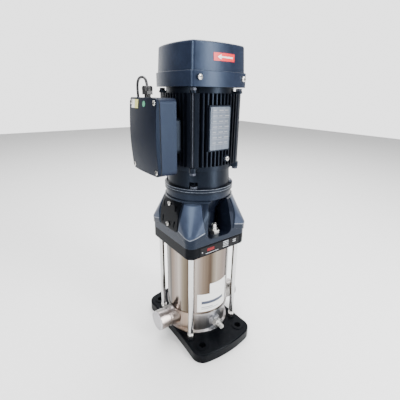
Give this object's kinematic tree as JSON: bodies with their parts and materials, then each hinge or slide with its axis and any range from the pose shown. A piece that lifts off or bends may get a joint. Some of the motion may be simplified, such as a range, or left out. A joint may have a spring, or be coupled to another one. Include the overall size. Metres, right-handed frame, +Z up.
{
  "type": "vertical multistage pump",
  "caption": "Upright electric pump: finned motor on a ribbed stool above a stainless stage sleeve clamped by stay bolts to a cast base plate with in-line pipe ports.",
  "frame": {"origin": "on the shaft axis, at the underside of the base plate", "axes": "+Z up along the shaft axis, -Y the front with the drain plug and the motor plate, -X the inlet port and terminal box side"},
  "size_m": [0.2308, 0.24, 0.598],
  "materials": {
    "cast_black": "gloss",
    "stool_black": "satin",
    "frame_black": "satin",
    "cowl_blue": "satin",
    "box_blue": "satin",
    "stainless": "satin",
    "sleeve_steel": "polished",
    "stage_steel": "satin",
    "bright_steel": "polished",
    "zinc_steel": "satin",
    "plug_steel": "satin",
    "cap_grey": "satin",
    "black_rubber": "matte",
    "seal_carbon": "satin",
    "coupling_iron": "satin",
    "core_steel": "satin",
    "copper": "gloss",
    "black_plastic": "satin",
    "lead_black": "satin",
    "plate_silver": "satin"
  },
  "bodies": {
    "housing": {"base_plate": "cast_black", "bearing_outer_rings": "bright_steel", "bottom_bearing": "seal_carbon", "cable_gland": "black_plastic", "coupling_guard_left": "stool_black", "coupling_guard_right": "stool_black", "cowl_screws": "zinc_steel", "drive_end_shield": "stool_black", "earth_screw": "zinc_steel", "fan_cover": "cowl_blue", "flange_bolts": "zinc_steel", "guard_screws": "zinc_steel", "lead_elbow": "black_plastic", "lid_gasket": "black_rubber", "lid_screws": "zinc_steel", "motor_frame": "frame_black", "motor_lead": "lead_black", "motor_stool": "stool_black", "nameplate": "plate_silver", "outer_sleeve": "sleeve_steel", "pump_casing": "stainless", "pump_head": "cast_black", "rear_shield": "frame_black", "seal_seat": "seal_carbon", "sleeve_seals": "black_rubber", "stage_chamber_1": "stage_steel", "stage_chamber_2": "stage_steel", "stage_chamber_3": "stage_steel", "stage_chamber_4": "stage_steel", "stator_core": "core_steel", "stator_windings": "copper", "stay_bolt_1": "bright_steel", "stay_bolt_2": "bright_steel", "stay_bolt_3": "bright_steel", "stay_bolt_4": "bright_steel", "terminal_board": "black_plastic", "terminal_box": "box_blue", "terminal_lid": "box_blue", "tie_bolts": "zinc_steel"},
    "rotor": {"impeller_1": "stage_steel", "impeller_2": "stage_steel", "impeller_3": "stage_steel", "impeller_4": "stage_steel", "pump_shaft": "bright_steel", "seal_head": "seal_carbon", "coupling_half_front": "coupling_iron", "coupling_half_back": "coupling_iron", "coupling_screws": "zinc_steel", "coupling_pin": "bright_steel", "rotor_core": "core_steel", "motor_shaft": "bright_steel", "bearing_inner_rings": "bright_steel", "bearing_balls": "bright_steel", "fan": "black_plastic"},
    "vent_plug": {"vent_plug": "plug_steel"},
    "vent_screw": {"vent_screw": "plug_steel"},
    "drain_plug": {"drain_plug": "plug_steel"},
    "bypass_stem": {"bypass_stem": "plug_steel"},
    "inlet_cap": {"inlet_cap": "cap_grey"},
    "outlet_cap": {"outlet_cap": "cap_grey"}
  },
  "joints": [
    {"name": "shaft_spin", "type": "hinge", "parent": "housing", "child": "rotor", "pos_m": [0, 0, 0.3], "axis": [0, 0, 1], "continuous": true},
    {"name": "vent_plug_lift", "type": "slide", "parent": "housing", "child": "vent_plug", "axis": [0, 0, 1], "range_m": [0, 0.02]},
    {"name": "vent_screw_turn", "type": "hinge", "parent": "vent_plug", "child": "vent_screw", "pos_m": [0, -0.054, 0.28], "axis": [0, 0, 1], "range_deg": [0, 270]},
    {"name": "drain_plug_pull", "type": "slide", "parent": "housing", "child": "drain_plug", "axis": [0, -1, 0], "range_m": [0, 0.02]},
    {"name": "bypass_stem_turn", "type": "hinge", "parent": "drain_plug", "child": "bypass_stem", "pos_m": [0, -0.09, 0.047], "axis": [0, -1, 0], "range_deg": [0, 270]},
    {"name": "inlet_cap_pull", "type": "slide", "parent": "housing", "child": "inlet_cap", "axis": [-1, 0, 0], "range_m": [0, 0.03]},
    {"name": "outlet_cap_pull", "type": "slide", "parent": "housing", "child": "outlet_cap", "axis": [1, 0, 0], "range_m": [0, 0.03]}
  ]
}
